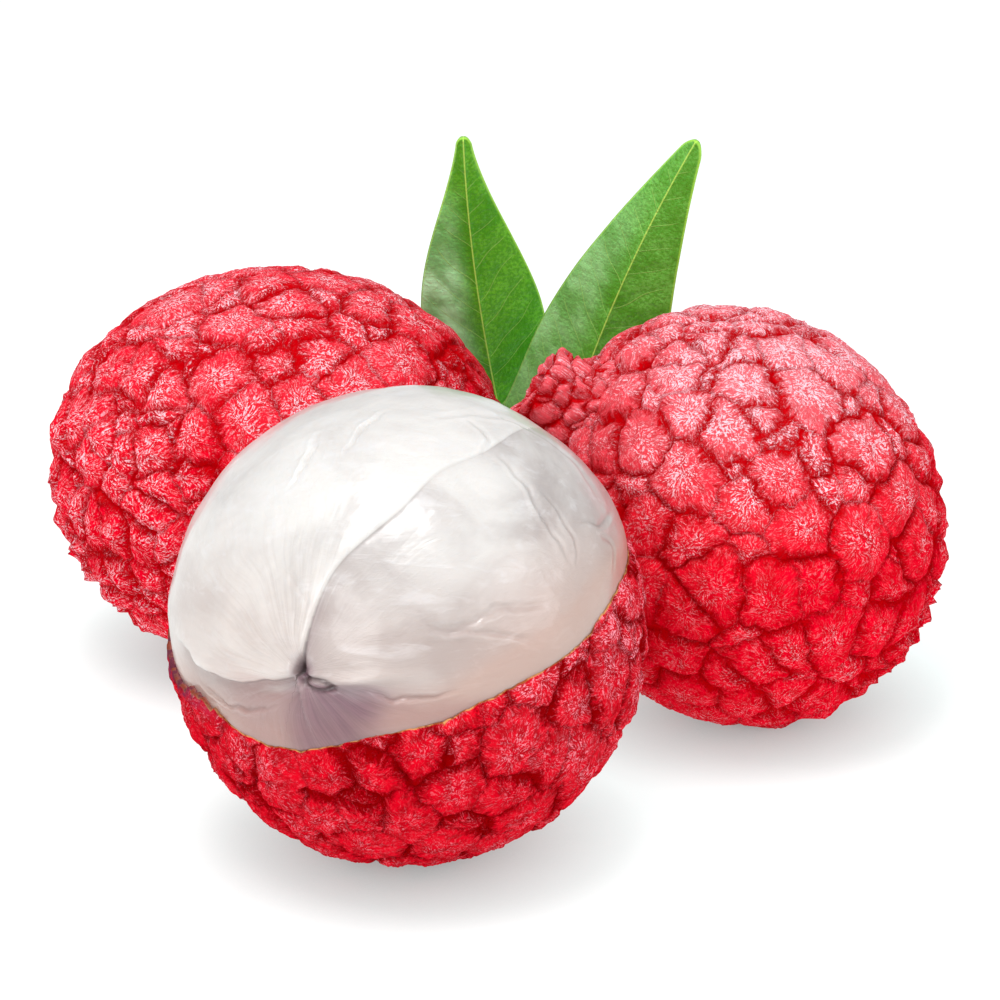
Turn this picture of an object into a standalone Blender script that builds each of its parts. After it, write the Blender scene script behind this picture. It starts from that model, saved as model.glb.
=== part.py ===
"""A bunch of three ripe lychees with two leaves, lying on a flat surface.

Two lychees are whole. The one in front is half peeled: its rind is a cup around the white flesh.
The two leaves stand on their stalks behind the fruits and lean on them.

Lengths are in millimetres and angles in radians until add_solid() turns them into metres. +Z is
up, -Y is the front of the bunch, and it lies on z = 0 with the origin below the middle of its box.
"""

import math

import bmesh
import bpy
import numpy as np

MM = 0.001

# Whole lychees: centre, half-lengths (length, depth, height), how far the length dips to the
# right, and where the stalk end points.
LEFT_CENTRE = (-17.3, 18.6, 16.4)
LEFT_HALF = (19.1, 16.8, 16.5)
LEFT_DIP = 0.03
LEFT_STEM = (0.79, 0.59, 0.16)
RIGHT_CENTRE = (19.7, 7.1, 16.8)
RIGHT_HALF = (17.4, 16.8, 16.1)
RIGHT_DIP = 0.87
RIGHT_STEM = (-0.80, -0.08, 0.59)

# Half-peeled lychee in front: a round fruit whose stalk end faces forward.
FRONT_CENTRE = (-6.4, -17.6, 18.0)
FRONT_RADIUS = 18.15
FRONT_STEM = (-0.38, -0.91, 0.15)

# Opening of its rind: the way it faces, its height over the fruit's centre, and the waves of its
# torn edge as (how many around, size, phase).
OPENING_FACES = (-0.23, -0.18, 0.956)
OPENING_HEIGHT = 2.3
OPENING_WAVES = ((2, 0.030, 0.6), (3, 0.022, 2.1), (5, 0.014, 4.0), (9, 0.008, 1.2))
RIND_WALL = 1.4
RIND_EDGE = 0.8

# Flesh: its gap to the rind that holds it, its radius above the rind and the stretch over which
# it swells to it, and the pit where the stalk was joined to it.
FLESH_GAP = 0.6
FLESH_RADIUS = 18.4
FLESH_SWELL = (0.07, 0.33)
PIT_DEPTH = 2.0
PIT_WIDTH = 0.17

# Scales of the rind: how many on a whole fruit, how far their tops stand over the smooth fruit
# and the grooves between them lie under it, and half a groove's width.
SCALE_COUNT = 200
SCALE_TOP = 0.30
GROOVE_DEPTH = 0.45
GROOVE_HALF_WIDTH = 0.55
SCALE_JITTER = 1.0
SCALE_EVENING = 3
POLE_CROWDING = 1.1

# Stalk stub: the hollow around it, its height, how it narrows, and the scar on its top.
HOLLOW_DEPTH = 0.8
HOLLOW_ANGLE = 0.40
STUB_HEIGHT = 2.9
STUB_NARROWING = 0.85
SCAR_DEPTH = 1.0
SCAR_SHARE = 0.55

# Height under which a fruit's scales are pressed flat by its own weight.
PRESSED_HEIGHT = 0.2

# Leaves: foot and tip, how far the middle bows away from a straight line, half-width and fold.
LEAVES = {
    "leaf_left": dict(
        foot=(4.0, 35.0, 0.8), tip=(-2.4, 25.0, 42.9), bow=(-1.3, 2.0, 0.0), facing=(-0.06, -1.0, 0.2),
        half_width=5.3, widest=0.45, taper=1.3, fold=0.16),
    "leaf_right": dict(
        foot=(3.2, 29.2, 0.8), tip=(16.4, 16.4, 45.4), bow=(-1.7, 1.6, 0.0), facing=(-0.35, -1.0, 0.25),
        half_width=6.3, widest=0.18, taper=0.85, fold=0.20),
}
LEAF_THICKNESS = 0.5
STALK_THICKNESS = 1.3
STALK_SHARE = 0.16
TIP_WIDTH = 0.06

# Mesh density of the flesh and the leaves. Rings lie closer together towards the pit.
FLESH_RINGS, FLESH_COLUMNS = 22, 36
PIT_CROWDING = 1.35
LEAF_RINGS, LEAF_COLUMNS = 26, 12

GOLDEN_ANGLE = math.pi * (3.0 - math.sqrt(5.0))


def unit(vector):
    """The vector at length 1."""
    vector = np.asarray(vector, dtype=float)
    return vector / np.linalg.norm(vector)


def frame_on(axis):
    """Three rows: two directions across the axis, then the axis."""
    axis = unit(axis)
    across = unit(np.cross((0.0, 1.0, 0.0) if abs(axis[1]) < 0.8 else (0.0, 0.0, 1.0), axis))
    return np.array([across, np.cross(axis, across), axis])


def smooth_step(value, low, high):
    """0 below low, 1 above high, and an S-curve between them."""
    t = np.clip((value - low) / (high - low), 0.0, 1.0)
    return t * t * (3.0 - 2.0 * t)


def polar_about(axis, directions):
    """Angle of each direction from an axis, and its turn around it."""
    local = directions @ frame_on(axis).T
    return np.arccos(np.clip(local[:, 2], -1.0, 1.0)), np.arctan2(local[:, 1], local[:, 0])


def directions_at(axis, polar, turn):
    """Unit vectors at angles from an axis and turns around it."""
    local = np.column_stack([np.sin(polar) * np.cos(turn), np.sin(polar) * np.sin(turn), np.cos(polar)])
    return local @ frame_on(axis)


# Scales of the rind

def cells_around(centres):
    """Corners of the cells around the centres, and each cell's corners in turn around it.

    The faces of the centres' convex hull join neighbours, and a face's normal is the direction
    that is equally far from its three centres, which is a corner of their cells.
    """
    hull = bmesh.new()
    points = [hull.verts.new(centre) for centre in centres]
    bmesh.ops.convex_hull(hull, input=points)
    hull.faces.index_update()
    corners = np.array([unit(face.normal) for face in hull.faces])
    cells = []
    for point, centre in zip(points, centres):
        around = [face.index for face in point.link_faces]
        _, turn = polar_about(centre, corners[around])
        cells.append([around[place] for place in np.argsort(turn)])
    hull.free()
    return corners, cells


def scale_centres(stem, seed):
    """Centres of the scales, the first one on the stalk: a spiral, jittered and then evened out."""
    rng = np.random.default_rng(seed)
    height = np.linspace(-1.0, 1.0, 2001)
    filled = height + POLE_CROWDING * height ** 3 / 3.0
    share = 1.0 - 2.0 * np.arange(SCALE_COUNT) / (SCALE_COUNT - 1)
    polar = np.arccos(np.interp(share * filled[-1], filled, height))
    centres = directions_at((0.0, 0.0, 1.0), polar, np.arange(SCALE_COUNT) * GOLDEN_ANGLE)
    centres[1:] += rng.normal(0.0, SCALE_JITTER / math.sqrt(SCALE_COUNT), (SCALE_COUNT - 1, 3))
    centres /= np.linalg.norm(centres, axis=1, keepdims=True)
    for _ in range(SCALE_EVENING):
        corners, cells = cells_around(centres)
        centres[1:] = [unit(corners[cell].mean(axis=0)) for cell in cells[1:]]
    return centres @ frame_on(stem)


def scaly_skin(centres, has_stub):
    """Directions, heights over the smooth fruit and faces of a closed skin of scales."""
    corners, cells = cells_around(centres)
    directions = list(corners)
    heights = [-GROOVE_DEPTH] * len(corners)
    faces = []

    def ring_within(outer, centre, share, height):
        """A smaller copy of a ring at another height, joined to it by quads."""
        inner = []
        for index in outer:
            inner.append(len(directions))
            directions.append(unit(centre + (directions[index] - centre) * share))
            heights.append(height)
        for place, index in enumerate(outer):
            after = (place + 1) % len(outer)
            faces.append((index, outer[after], inner[after], inner[place]))
        return inner

    for number, (centre, cell) in enumerate(zip(centres, cells)):
        half_width = np.linalg.norm(corners[cell] - centre, axis=1).mean() * FRONT_RADIUS
        ring = ring_within(cell, centre, 1.0 - GROOVE_HALF_WIDTH / half_width, SCALE_TOP)
        if has_stub and number == 0:
            ring = ring_within(ring, centre, STUB_NARROWING, STUB_HEIGHT)
            ring = ring_within(ring, centre, SCAR_SHARE, STUB_HEIGHT - SCAR_DEPTH)
        faces.append(tuple(ring))
    return np.array(directions), np.array(heights), faces


def on_surface(points):
    """The points with whatever is nearly at z = 0, or below it, pressed flat onto it."""
    pressed = points.copy()
    pressed[pressed[:, 2] < PRESSED_HEIGHT, 2] = 0.0
    return pressed


# The three fruits

def whole_lychee(centre, half, dip, stem, seed):
    """A whole fruit: an ellipsoid covered with scales, with a stalk stub in a hollow."""
    directions, heights, faces = scaly_skin(scale_centres(stem, seed), has_stub=True)
    lie = np.array([[math.cos(dip), 0.0, -math.sin(dip)], [0.0, 1.0, 0.0], [math.sin(dip), 0.0, math.cos(dip)]])
    radius = 1.0 / np.linalg.norm(directions @ lie.T / np.array(half), axis=1)
    polar, _ = polar_about(stem, directions)
    hollow = HOLLOW_DEPTH * np.exp(-(polar / HOLLOW_ANGLE) ** 2)
    return on_surface(np.array(centre) + directions * (radius + heights - hollow)[:, None]), faces


def opening_angle(turn):
    """Angle from the bottom of the rind up to its torn edge, at a turn around the opening."""
    angle = math.pi / 2.0 + math.asin(OPENING_HEIGHT / FRONT_RADIUS)
    for count, size, phase in OPENING_WAVES:
        angle = angle + size * np.sin(count * turn + phase)
    return angle


def rind_inside(share):
    """Radius of the rind's inner face, at a share of the way from its bottom to its edge."""
    return FRONT_RADIUS - RIND_WALL + (RIND_WALL - RIND_EDGE) * smooth_step(share, 0.55, 1.0)


def peeled_rind():
    """The rind left on the half-peeled fruit: the lower part of a skin of scales, with a wall."""
    directions, heights, faces = scaly_skin(scale_centres(FRONT_STEM, seed=31), has_stub=False)
    cup = bmesh.new()
    corners = [cup.verts.new(point) for point in directions * (FRONT_RADIUS + heights)[:, None]]
    for face in faces:
        cup.faces.new([corners[index] for index in face])
    bmesh.ops.bisect_plane(
        cup, geom=cup.verts[:] + cup.edges[:] + cup.faces[:], dist=1e-4,
        plane_co=unit(OPENING_FACES) * OPENING_HEIGHT, plane_no=unit(OPENING_FACES), clear_outer=True)
    cup.verts.index_update()
    points = np.array([corner.co for corner in cup.verts])
    faces = [tuple(corner.index for corner in face.verts) for face in cup.faces]
    rim = [(edge.link_loops[0].vert.index, edge.link_loops[0].link_loop_next.vert.index)
           for edge in cup.edges if edge.is_boundary]
    cup.free()

    bottom = -unit(OPENING_FACES)
    radius = np.linalg.norm(points, axis=1)
    polar, turn = polar_about(bottom, points / radius[:, None])
    share = polar / (math.pi / 2.0 + math.asin(OPENING_HEIGHT / FRONT_RADIUS))
    waved = polar + (opening_angle(turn) - polar) * smooth_step(share, 0.75, 1.0)
    directions = directions_at(bottom, waved, turn)
    scaly = 1.0 - smooth_step(share, 0.94, 1.0)
    outer = on_surface(FRONT_CENTRE + directions * (FRONT_RADIUS + (radius - FRONT_RADIUS) * scaly)[:, None])
    inner = FRONT_CENTRE + directions * rind_inside(share)[:, None]
    start = len(points)
    faces += [tuple(index + start for index in reversed(face)) for face in faces]
    faces += [(after, before, before + start, after + start) for before, after in rim]
    return np.vstack([outer, inner]), faces


def skin(first, rings, last):
    """Points and faces of the closed surface that runs from one end point over rings to another."""
    columns = len(rings[0])
    points = np.vstack([[first], *rings, [last]])
    end = len(points) - 1
    faces = []
    for column in range(columns):
        after = (column + 1) % columns
        faces.append((0, 1 + column, 1 + after))
        for ring in range(len(rings) - 1):
            upper = 1 + ring * columns
            lower = upper + columns
            faces.append((lower + column, lower + after, upper + after, upper + column))
        faces.append((end, end - columns + after, end - columns + column))
    return points, faces


def peeled_flesh():
    """The flesh: it fills the rind with a small gap, swells out above it and has the stalk's pit."""
    stem = unit(FRONT_STEM)

    def surface(directions):
        polar, turn = polar_about(-unit(OPENING_FACES), directions)
        edge = opening_angle(turn)
        held = rind_inside(np.minimum(polar / edge, 1.0)) - FLESH_GAP
        swell = smooth_step(polar - edge, *FLESH_SWELL)
        from_stem, _ = polar_about(stem, directions)
        pit = PIT_DEPTH * np.exp(-(from_stem / PIT_WIDTH) ** 2)
        radius = held + (FLESH_RADIUS - held) * swell - pit
        return FRONT_CENTRE + directions * radius[:, None]

    turn = np.arange(FLESH_COLUMNS) * 2.0 * math.pi / FLESH_COLUMNS
    polars = math.pi * (np.arange(1, FLESH_RINGS) / FLESH_RINGS) ** PIT_CROWDING
    rings = [surface(directions_at(stem, np.full(FLESH_COLUMNS, polar), turn)) for polar in polars]
    ends = surface(np.array([stem, -stem]))
    return skin(ends[0], rings, ends[1])


# Leaves

def blade_width(blade, widest, taper):
    """Share of a leaf's full width, at a share of the way from the blade's base to its tip."""
    if blade < widest:
        return math.sin(math.pi / 2.0 * (blade / widest) ** 0.8)
    from_tip = (1.0 - blade) / (1.0 - widest)
    return TIP_WIDTH + (1.0 - TIP_WIDTH) * math.sin(math.pi / 2.0 * from_tip ** taper)


def leaf(foot, tip, bow, facing, half_width, widest, taper, fold):
    """A leaf on its stalk: flattened rings along a bowed midrib, folded a little along it."""
    foot, tip, bow = np.array(foot), np.array(tip), np.array(bow)
    turn = np.arange(LEAF_COLUMNS) * 2.0 * math.pi / LEAF_COLUMNS
    rings = []
    for step in np.arange(1, LEAF_RINGS) / LEAF_RINGS:
        along = 0.5 - 0.5 * math.cos(math.pi * step)
        middle = foot + (tip - foot) * along + bow * (4.0 * along * (1.0 - along))
        run = unit((tip - foot) + bow * (4.0 - 8.0 * along))
        side = unit(np.cross(run, facing))
        front = np.cross(side, run)
        blade = max((along - STALK_SHARE) / (1.0 - STALK_SHARE), 0.0)
        opened = smooth_step(blade, 0.0, 0.25)
        width = STALK_THICKNESS / 2.0 * (1.0 - 0.6 * opened) + half_width * blade_width(blade, widest, taper)
        thick = STALK_THICKNESS / 2.0 + (LEAF_THICKNESS - STALK_THICKNESS) / 2.0 * opened
        across = width * np.cos(turn)
        lift = thick * np.sin(turn) - fold * opened * np.abs(across)
        rings.append(middle + across[:, None] * side + lift[:, None] * front)
    return skin(foot, rings, tip)


# Materials and objects

def finish(name, colour, roughness):
    """A Principled material with one colour."""
    material = bpy.data.materials.new(name)
    material.use_nodes = True
    shader = material.node_tree.nodes["Principled BSDF"]
    shader.inputs["Base Color"].default_value = (*colour, 1.0)
    shader.inputs["Roughness"].default_value = roughness
    shader.inputs["Metallic"].default_value = 0.0
    return material


def add_solid(name, shape, material, smooth):
    """One object, in metres, from points and faces in millimetres."""
    points, faces = shape
    mesh = bpy.data.meshes.new(name)
    mesh.from_pydata((points * MM).tolist(), [], faces)
    mesh.materials.append(material)
    if smooth:
        mesh.shade_smooth()
    bpy.context.scene.collection.objects.link(bpy.data.objects.new(name, mesh))


def build():
    """The whole bunch in an empty scene."""
    for old in list(bpy.data.objects):
        bpy.data.objects.remove(old)

    rind = finish("lychee_rind", (0.62, 0.035, 0.060), 0.60)
    flesh = finish("lychee_flesh", (0.86, 0.82, 0.79), 0.25)
    green = finish("lychee_leaf", (0.115, 0.290, 0.045), 0.45)

    left = whole_lychee(LEFT_CENTRE, LEFT_HALF, LEFT_DIP, LEFT_STEM, seed=11)
    right = whole_lychee(RIGHT_CENTRE, RIGHT_HALF, RIGHT_DIP, RIGHT_STEM, seed=23)
    add_solid("lychee_left", left, rind, smooth=False)
    add_solid("lychee_right", right, rind, smooth=False)
    add_solid("peeled_lychee_rind", peeled_rind(), rind, smooth=False)
    add_solid("peeled_lychee_flesh", peeled_flesh(), flesh, smooth=True)
    for name, shape in LEAVES.items():
        add_solid(name, leaf(**shape), green, smooth=True)


build()
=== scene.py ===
"""Looks of a bunch of three ripe lychees with two leaves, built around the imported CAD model.

Lengths are in millimetres and angles in radians until solid() turns them into metres. +Z is up
and -Y is the front of the bunch.
"""

import itertools
import math

import bmesh
import bpy
import numpy as np
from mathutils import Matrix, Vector


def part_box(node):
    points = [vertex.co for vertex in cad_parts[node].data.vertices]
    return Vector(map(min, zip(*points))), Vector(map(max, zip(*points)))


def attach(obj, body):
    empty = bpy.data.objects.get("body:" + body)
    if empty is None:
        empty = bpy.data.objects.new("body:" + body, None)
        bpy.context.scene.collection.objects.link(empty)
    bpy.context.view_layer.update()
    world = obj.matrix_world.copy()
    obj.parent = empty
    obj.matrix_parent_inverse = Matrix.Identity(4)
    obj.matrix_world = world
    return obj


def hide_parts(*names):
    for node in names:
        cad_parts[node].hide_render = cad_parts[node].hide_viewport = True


MM = 0.001
GOLDEN_ANGLE = math.pi * (3.0 - math.sqrt(5.0))
ORIGIN = (0.0, 0.0, 0.0)
HALF_DOWN = (-0.5, -0.5, -0.5)

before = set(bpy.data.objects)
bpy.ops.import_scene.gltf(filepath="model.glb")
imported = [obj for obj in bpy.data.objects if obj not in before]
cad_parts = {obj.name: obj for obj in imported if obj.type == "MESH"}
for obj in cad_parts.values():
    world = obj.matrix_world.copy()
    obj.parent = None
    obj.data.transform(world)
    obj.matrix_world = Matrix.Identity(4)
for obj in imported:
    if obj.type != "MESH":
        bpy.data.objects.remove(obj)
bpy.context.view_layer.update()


# Rays, which are directions of length 1, and noise

MIXER = 1274126177
AXIS_MIXERS = np.array((374761393, 668265263, 974634777))


def unit(vector):
    """The vector, or each row of an array, at length 1."""
    vector = np.asarray(vector, dtype=float)
    return vector / np.linalg.norm(vector, axis=-1, keepdims=True)


def frame_on(axis):
    """Three rows: two directions across the axis, then the axis."""
    axis = unit(axis)
    across = unit(np.cross((0.0, 1.0, 0.0) if abs(axis[1]) < 0.8 else (0.0, 0.0, 1.0), axis))
    return np.array([across, np.cross(axis, across), axis])


def step_up(value, low, high):
    """0 below low, 1 above high, and an S-curve between them."""
    t = np.clip((value - low) / (high - low), 0.0, 1.0)
    return t * t * (3.0 - 2.0 * t)


def step_down(value, low, high):
    """1 below low, 0 above high, and an S-curve between them."""
    return 1.0 - step_up(value, low, high)


def hump(value, width):
    """A hump of height 1 around 0, that fades out over about two widths to each side."""
    return np.exp(-(value / width) ** 2)


def polar_about(axis, rays):
    """Angle of each direction from an axis, and its turn around it."""
    local = rays @ frame_on(axis).T
    return np.arccos(np.clip(local[:, 2], -1.0, 1.0)), np.arctan2(local[:, 1], local[:, 0])


def on_circle(turn, reach, rise):
    """Points around the Z axis, from their turns, their distances from it and their heights."""
    return np.column_stack([reach * np.cos(turn), reach * np.sin(turn), rise + 0.0 * turn])


def rays_at(axis, polar, turn):
    """Unit vectors at angles from an axis and turns around it."""
    return on_circle(turn, np.sin(polar), np.cos(polar)) @ frame_on(axis)


def noise(points, seed=0):
    """Smooth noise between -1 and 1 at 3-D points; its features are about one unit across."""
    base = np.floor(points).astype(np.int64)
    part = points - base
    part = part * part * (3.0 - 2.0 * part)
    total = np.zeros(len(points))
    for corner in itertools.product((0, 1), repeat=3):
        step = base + np.array(corner)
        mixed = step @ AXIS_MIXERS + seed * MIXER
        mixed = (mixed ^ (mixed >> 13)) * MIXER & 0x7FFFFFFFFFFF
        value = ((mixed ^ (mixed >> 16)) & 0xFFFF) / 32767.5 - 1.0
        weight = np.prod(np.where(np.array(corner) == 1, part, 1.0 - part), axis=1)
        total += weight * value
    return total


def waves(points, *layers):
    """Noises added up, each with its height, its fineness and its seed."""
    return sum(height * noise(points * fineness, seed) for height, fineness, seed in layers)


def noise_vector(points, seed):
    """Three noises, one along each axis."""
    return np.column_stack([noise(points, seed + axis) for axis in range(3)])


def beads(points, seed):
    """For packed beads about one unit across: how far each point is from the gap between two."""
    base = np.floor(points)
    near = np.full((len(points), 2), 9.0)
    for step in itertools.product((-1, 0, 1), repeat=3):
        cell = base + np.array(step)
        away = np.linalg.norm(points - cell - 0.5 - 0.4 * noise_vector(cell, seed), axis=1)
        near = np.sort(np.column_stack([near, away]), axis=1)[:, :2]
    return near[:, 1] - near[:, 0]


def smooth_line(points, steps):
    """Points on a smooth line through the points, without its last one: steps of them to a gap."""
    padded = np.vstack([2.0 * points[0] - points[1], points, 2.0 * points[-1] - points[-2]])
    t = (np.arange(steps) / steps)[:, None]
    parts = []
    for before, start, end, after in zip(padded, padded[1:], padded[2:], padded[3:]):
        square = 2 * before - 5 * start + 4 * end - after
        cube = 3 * start - before - 3 * end + after
        parts.append(0.5 * (2 * start + (end - before) * t + square * t ** 2 + cube * t ** 3))
    return np.vstack(parts)


# Meshes

def corners_of(grids):
    """The four corners of each cell of grids, in turn around it."""
    return np.stack([grids[:, :-1, :-1], grids[:, 1:, :-1], grids[:, 1:, 1:], grids[:, :-1, 1:]], axis=3)


def cube_sphere(count):
    """Unit vectors and quads of an even closed sphere with count quads along each cube edge, and
    the quads' places on six squares."""
    step = np.arange(count + 1)
    column, row = np.meshgrid(step, step, indexing="ij")
    keys = []
    for axis, side in itertools.product(range(3), (0, count)):
        key = np.empty((count + 1, count + 1, 3), dtype=np.int64)
        key[..., axis] = side
        first, second = ((axis + 1) % 3, (axis + 2) % 3) if side else ((axis + 2) % 3, (axis + 1) % 3)
        key[..., first] = column
        key[..., second] = row
        keys.append(key.reshape(-1, 3))
    lattice, index = np.unique(np.concatenate(keys), axis=0, return_inverse=True)
    rays = unit(np.tan((lattice / count * 2.0 - 1.0) * math.pi / 4.0))
    quads = corners_of(index.reshape(6, count + 1, count + 1))
    square = np.arange(6)
    origin = np.column_stack([square % 3 / 3.0, square // 3 / 2.0])[:, None, None, None]
    places = corners_of(np.stack([column, row], axis=-1)[None] / count)
    spread = (places * 0.98 + 0.01) * np.array([1.0 / 3.0, 1.0 / 2.0]) + origin
    return rays, quads.reshape(-1, 4), spread.reshape(-1, 2)


def tube(rings, columns):
    """Quads and end triangles of a closed surface over rings of points, with a point at each end,
    and the corners' places on a square."""
    column = np.arange(columns + 1)
    ring = np.arange(rings)[:, None]
    index = ring * columns + 1 + column % columns
    place = np.stack(np.broadcast_arrays(column / columns, (ring + 1) / (rings + 1)), axis=-1)
    faces = np.roll(corners_of(index[None]), -1, axis=-1).reshape(-1, 4).tolist()
    spread = [np.roll(corners_of(place[None]), -1, axis=-2).reshape(-1, 2)]
    for end, row, left, right in ((0, 0, column[:-1], column[1:]), (1, -1, column[1:], column[:-1])):
        point = np.full(columns, end * (rings * columns + 1))
        faces += np.column_stack([point, index[row, left], index[row, right]]).tolist()
        middle = np.column_stack([(column[:-1] + 0.5) / columns, np.full(columns, float(end))])
        spread.append(np.stack([middle, place[row, left], place[row, right]], axis=1).reshape(-1, 2))
    return faces, np.concatenate(spread) * 0.98 + 0.01


def solid(name, points, faces, spread, values, material, nodes):
    """A smooth piece in metres that stands for CAD nodes, with values stored at its points."""
    mesh = bpy.data.meshes.new(name)
    mesh.from_pydata((points * MM).tolist(), [], faces if isinstance(faces, list) else faces.tolist())
    mesh.shade_smooth()
    for key, value in values.items():
        value = np.asarray(value, dtype=np.float32)
        kind, field = ("FLOAT", "value") if value.ndim == 1 else ("FLOAT_VECTOR", "vector")
        mesh.attributes.new(key, kind, "POINT").data.foreach_set(field, value.ravel())
    mesh.uv_layers.new(name="OFBake").uv.foreach_set("vector", np.asarray(spread, dtype=np.float32).ravel())
    mesh.materials.append(material)
    piece = bpy.data.objects.new(name, mesh)
    bpy.context.scene.collection.objects.link(piece)
    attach(piece, "root")
    for node in nodes:
        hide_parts(node)


# Materials

class Nodes:
    """Makes and joins the nodes of one material."""

    def __init__(self, name):
        self.material = bpy.data.materials.new(name)
        self.material.use_nodes = True
        self.tree = self.material.node_tree

    def put(self, socket, value):
        """Links an output to a socket, or sets the socket's own value."""
        if isinstance(value, bpy.types.NodeSocket):
            self.tree.links.new(value, socket)
        else:
            socket.default_value = value

    def add(self, kind, inputs=None, output=0, **settings):
        """A node with its inputs by name or number; gives one of its outputs."""
        node = self.tree.nodes.new("ShaderNode" + kind)
        for key, value in settings.items():
            setattr(node, key, value)
        for key, value in (inputs or {}).items():
            self.put(node.inputs[key], value)
        return node.outputs[output]

    def math(self, operation, first, second=0.0, third=0.0):
        """One operation on numbers; the result stays unclamped."""
        return self.add("Math", {0: first, 1: second, 2: third}, operation=operation)

    def times(self, first, *others):
        """Several numbers multiplied."""
        for other in others:
            first = self.math("MULTIPLY", first, other)
        return first

    def vectors(self, operation, first, second=ORIGIN, third=ORIGIN, output=0):
        """One operation on vectors."""
        return self.add("VectorMath", {0: first, 1: second, 2: third}, output, operation=operation)

    def combine(self, x, y, z=0.0):
        """A vector of three numbers."""
        return self.add("CombineXYZ", {0: x, 1: y, 2: z})

    def spot(self):
        """The place on the object, in metres."""
        return self.add("TexCoord", output="Object")

    def value(self, name):
        """A number stored at the points."""
        return self.add("Attribute", attribute_name=name, output="Fac")

    def vector(self, name):
        """A vector stored at the points."""
        return self.add("Attribute", attribute_name=name, output="Vector")

    def parts(self, name):
        """The three numbers of a vector stored at the points, by the names X, Y and Z."""
        return self.add("SeparateXYZ", {0: self.vector(name)}).node.outputs

    def ease(self, value, low, high, to_low=0.0, to_high=1.0):
        """A number eased from one range to another, and clamped to it."""
        return self.add("MapRange", {"Value": value, 1: low, 2: high, 3: to_low, 4: to_high},
                        interpolation_type="SMOOTHSTEP")

    def mix(self, share, first, second):
        """Two colours mixed, by the second one's share."""
        node = self.tree.nodes.new("ShaderNodeMix")
        node.data_type = "RGBA"
        for place, value in ((0, share), (6, first), (7, second)):
            self.put(node.inputs[place], (*value, 1.0) if isinstance(value, tuple) else value)
        return node.outputs[2]

    def layers(self, colour, *layers):
        """A colour with others laid over it in turn, each by its share."""
        for share, over in layers:
            colour = self.mix(share, colour, over)
        return colour

    def noise(self, place, scale, detail=2.0, roughness=0.5, fourth=None, distortion=0.0):
        """Noise between 0 and 1 over a vector, or over a vector and a fourth number."""
        inputs = {"Vector": place, "Scale": scale, "Detail": detail, "Roughness": roughness,
                  "Distortion": distortion}
        if fourth is not None:
            inputs["W"] = fourth
        return self.add("TexNoise", inputs, noise_dimensions="3D" if fourth is None else "4D")

    def bump(self, height, distance, strength=1.0, normal=None):
        """A normal raised by a height."""
        inputs = {"Height": height, "Distance": distance * MM, "Strength": strength}
        if normal is not None:
            inputs["Normal"] = normal
        return self.add("Bump", inputs)

    def finish(self, inputs):
        """Sets inputs of the material's shader; gives the material."""
        for key, value in inputs.items():
            self.put(self.tree.nodes["Principled BSDF"].inputs[key], value)
        return self.material


# Scales of the rind

SCALE_COUNT = 200
SCALE_JITTER = 1.0
SCALE_EVENING = 3
POLE_CROWDING = 1.1
UNEVEN_SCALES = 0.010
FAINT_GROOVES = 0.6
STRAY_SCALES = 0.20
GROOVE_WIDTH = 0.20
SLOPE_WIDTH = 0.62
CHUNK = 8192


def cells_around(centres):
    """Corners of the cells around the centres, and each cell's corners in turn around it."""
    hull = bmesh.new()
    points = [hull.verts.new(centre) for centre in centres]
    bmesh.ops.convex_hull(hull, input=points)
    hull.faces.index_update()
    corners = np.array([unit(face.normal) for face in hull.faces])
    cells = []
    for point, centre in zip(points, centres):
        around = [face.index for face in point.link_faces]
        _, turn = polar_about(centre, corners[around])
        cells.append([around[place] for place in np.argsort(turn)])
    hull.free()
    return corners, cells


def scale_centres(stem, seed):
    """Centres of the scales, the first one on the stalk, laid out as in the CAD model."""
    rng = np.random.default_rng(seed)
    height = np.linspace(-1.0, 1.0, 2001)
    filled = height + POLE_CROWDING * height ** 3 / 3.0
    share = 1.0 - 2.0 * np.arange(SCALE_COUNT) / (SCALE_COUNT - 1)
    polar = np.arccos(np.interp(share * filled[-1], filled, height))
    centres = rays_at((0.0, 0.0, 1.0), polar, np.arange(SCALE_COUNT) * GOLDEN_ANGLE)
    centres[1:] += rng.normal(0.0, SCALE_JITTER / math.sqrt(SCALE_COUNT), (SCALE_COUNT - 1, 3))
    centres = unit(centres)
    for _ in range(SCALE_EVENING):
        corners, cells = cells_around(centres)
        centres[1:] = [unit(corners[cell].mean(axis=0)) for cell in cells[1:]]
    return centres @ frame_on(stem)


def with_small_scales(centres, near_stalk, near_tip, seed):
    """The centres, with small scales between them here and there, and many of them around the
    stalk and the tip."""
    rng = np.random.default_rng(seed + 200)
    corners, _ = cells_around(centres)
    polar, _ = polar_about(centres[0], corners)
    close = (polar < near_stalk) | (polar > math.pi - near_tip)
    stray = rng.random(len(corners)) < STRAY_SCALES
    return np.vstack([centres, corners[close | stray]])


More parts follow.
